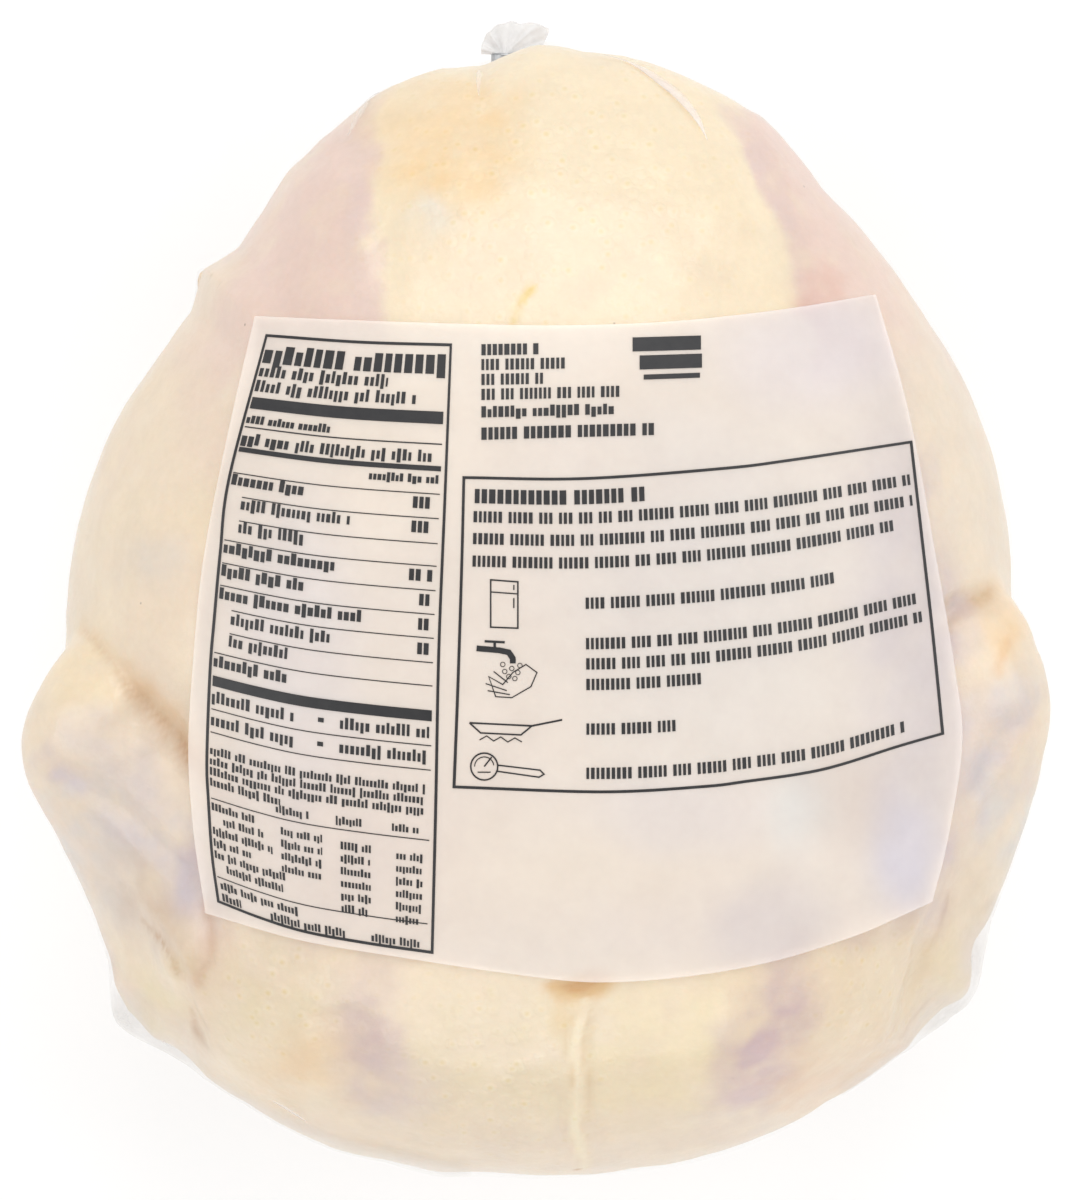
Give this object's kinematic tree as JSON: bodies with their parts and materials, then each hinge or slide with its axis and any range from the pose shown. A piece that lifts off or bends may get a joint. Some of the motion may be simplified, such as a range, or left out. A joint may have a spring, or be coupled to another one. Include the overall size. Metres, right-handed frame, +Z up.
{
  "type": "whole raw chicken in a clear shrink bag",
  "caption": "Whole raw chicken sealed in a tight clear film bag with a gathered, clipped end and a translucent label over its back; it lies on its breast.",
  "frame": {"origin": "on the surface it rests on, under the middle of its box", "axes": "+Y runs from the neck end to the tail end with the clip, +X to the right seen from above, +Z up from the breast to the back"},
  "size_m": [0.1946, 0.2206, 0.1212],
  "materials": {
    "bagged_skin": "pale cream and pink raw skin under tight clear glossy film",
    "clip_metal": "crimped bare metal",
    "label_film": "translucent white film label with dark print, satin"
  },
  "bodies": {
    "root": {"bag": "bagged_skin", "clip": "clip_metal", "label": "label_film"}
  },
  "joints": []
}
